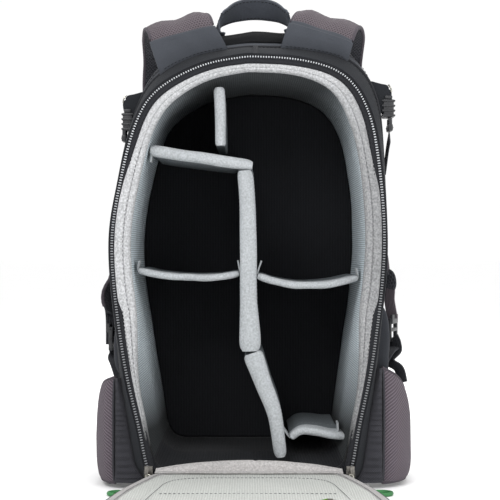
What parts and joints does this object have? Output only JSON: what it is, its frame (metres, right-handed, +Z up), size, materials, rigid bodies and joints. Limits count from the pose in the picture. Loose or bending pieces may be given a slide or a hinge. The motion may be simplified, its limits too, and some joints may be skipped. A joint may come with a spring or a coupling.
{
  "type": "camera backpack",
  "caption": "Rear-opening camera backpack with a zipped fold-down back panel, padded liner, removable dividers, shoulder straps and hip wings.",
  "frame": {"origin": "middle of the flat base the bag stands on", "axes": "+Z up the bag's height, -Y out of the opening, +X to the right seen from the opening side"},
  "size_m": [0.3382, 0.655, 0.5171],
  "materials": {
    "shell_fabric": "charcoal woven nylon",
    "base_fabric": "heavier coated weave",
    "lining": "light grey brushed lining",
    "panel_lining": "light grey ribbed lining",
    "divider_fabric": "light grey brushed loop fabric",
    "webbing": "woven webbing",
    "mesh": "purple-grey spacer mesh",
    "plastic": "moulded, fine texture",
    "board": "extruded sheet",
    "metal": "die-cast, satin",
    "coil": "nylon coil on tape",
    "cord": "braided, yellow-green"
  },
  "bodies": {
    "bag": {"outer_shell": "shell_fabric", "padded_liner": "lining", "front_stiffener": "board", "body_zip_tape": "coil", "hinge_lip": "lining", "base_panel": "base_fabric", "front_pocket": "shell_fabric", "front_pocket_zip": "coil", "handle_patch": "shell_fabric", "shoulder_strap_left": "mesh", "strap_lock_left": "plastic", "strap_webbing_left": "webbing", "strap_root_left": "shell_fabric", "side_tab_left": "webbing", "side_buckle_left": "plastic", "shoulder_strap_right": "mesh", "strap_lock_right": "plastic", "strap_webbing_right": "webbing", "strap_root_right": "shell_fabric", "side_tab_right": "webbing", "side_buckle_right": "plastic"},
    "rear_panel": {"panel_shell": "shell_fabric", "panel_board": "board", "panel_liner": "panel_lining", "panel_pocket": "panel_lining", "back_pad_upper_left": "mesh", "back_pad_upper_right": "mesh", "back_pad_middle_left": "mesh", "back_pad_middle_right": "mesh", "lumbar_pad": "mesh"},
    "handle": {"grab_handle": "webbing"},
    "pocket_zip": {"pocket_slider": "metal"},
    "pocket_pull": {"pocket_pull": "webbing"},
    "hip_wing_left": {"hip_wing_left": "mesh", "hip_webbing_left": "webbing", "hip_buckle_left": "plastic"},
    "side_plug_left": {"side_plug_left": "plastic", "side_strap_left": "webbing"},
    "zip_slider_left": {"zip_slider_left": "metal"},
    "zip_pull_left": {"zip_pull_left": "metal", "pull_cord_left": "cord"},
    "hip_wing_right": {"hip_wing_right": "mesh", "hip_webbing_right": "webbing", "hip_buckle_right": "plastic"},
    "side_plug_right": {"side_plug_right": "plastic", "side_strap_right": "webbing"},
    "zip_slider_right": {"zip_slider_right": "metal"},
    "zip_pull_right": {"zip_pull_right": "metal", "pull_cord_right": "cord"},
    "divider_top": {"divider_top": "divider_fabric"},
    "divider_upper_left": {"divider_upper_left": "divider_fabric"},
    "divider_main_upper": {"divider_main_upper": "divider_fabric"},
    "divider_main_lower": {"divider_main_lower": "divider_fabric"},
    "divider_mid_left": {"divider_mid_left": "divider_fabric"},
    "divider_mid_right": {"divider_mid_right": "divider_fabric"},
    "divider_low_right": {"divider_low_right": "divider_fabric"}
  },
  "joints": [
    {"name": "rear_panel_fold", "type": "hinge", "parent": "bag", "child": "rear_panel", "pos_m": [0, -0.1028, 0.0238], "axis": [-1, 0, 0], "range_deg": [0, 90]},
    {"name": "handle_swing", "type": "hinge", "parent": "bag", "child": "handle", "pos_m": [0.007, -0.03, 0.4872], "axis": [-1, 0, 0], "range_deg": [-50, 2]},
    {"name": "hip_wing_left_fold", "type": "hinge", "parent": "bag", "child": "hip_wing_left", "pos_m": [-0.136, -0.0885, 0], "axis": [0, 0, 1], "range_deg": [0, 130]},
    {"name": "side_plug_left_release", "type": "slide", "parent": "bag", "child": "side_plug_left", "axis": [-0.25, 0, -0.9682], "range_m": [0, 0.018]},
    {"name": "zip_slider_left_run", "type": "slide", "parent": "bag", "child": "zip_slider_left", "axis": [-0.2057, 0, 0.9786], "range_m": [0, 0.138]},
    {"name": "zip_pull_left_swing", "type": "hinge", "parent": "zip_slider_left", "child": "zip_pull_left", "pos_m": [-0.1012, -0.1084, 0.0165], "axis": [-1, 0, 0], "range_deg": [0, 80]},
    {"name": "hip_wing_right_fold", "type": "hinge", "parent": "bag", "child": "hip_wing_right", "pos_m": [0.1375, -0.0885, 0], "axis": [0, 0, -1], "range_deg": [0, 130]},
    {"name": "side_plug_right_release", "type": "slide", "parent": "bag", "child": "side_plug_right", "axis": [0.02, 0, -0.9998], "range_m": [0, 0.018]},
    {"name": "zip_slider_right_run", "type": "slide", "parent": "bag", "child": "zip_slider_right", "axis": [0.188, 0, 0.9822], "range_m": [0, 0.138]},
    {"name": "zip_pull_right_swing", "type": "hinge", "parent": "zip_slider_right", "child": "zip_pull_right", "pos_m": [0.1042, -0.1084, 0.0165], "axis": [-1, 0, 0], "range_deg": [0, 80]},
    {"name": "divider_top_pull_out", "type": "slide", "parent": "bag", "child": "divider_top", "axis": [0, 1, 0], "range_m": [-0.16, 0]},
    {"name": "divider_upper_left_pull_out", "type": "slide", "parent": "bag", "child": "divider_upper_left", "axis": [0, 1, 0], "range_m": [-0.16, 0]},
    {"name": "divider_main_upper_pull_out", "type": "slide", "parent": "bag", "child": "divider_main_upper", "axis": [0, 1, 0], "range_m": [-0.16, 0]},
    {"name": "divider_crease", "type": "hinge", "parent": "divider_main_upper", "child": "divider_main_lower", "pos_m": [0.0045, -0.02, 0.1393], "axis": [0, -1, 0], "range_deg": [-12, 0]},
    {"name": "divider_mid_left_pull_out", "type": "slide", "parent": "bag", "child": "divider_mid_left", "axis": [0, 1, 0], "range_m": [-0.16, 0]},
    {"name": "divider_mid_right_pull_out", "type": "slide", "parent": "bag", "child": "divider_mid_right", "axis": [0, 1, 0], "range_m": [-0.16, 0]},
    {"name": "divider_low_right_pull_out", "type": "slide", "parent": "bag", "child": "divider_low_right", "axis": [0, 1, 0], "range_m": [-0.16, 0]},
    {"name": "pocket_slider_run", "type": "slide", "parent": "bag", "child": "pocket_zip", "axis": [1, 0, 0], "range_m": [0, 0.1]},
    {"name": "pocket_pull_swing", "type": "hinge", "parent": "pocket_zip", "child": "pocket_pull", "pos_m": [-0.05, 0.1224, 0.3285], "axis": [1, 0, 0], "range_deg": [0, 90]}
  ]
}
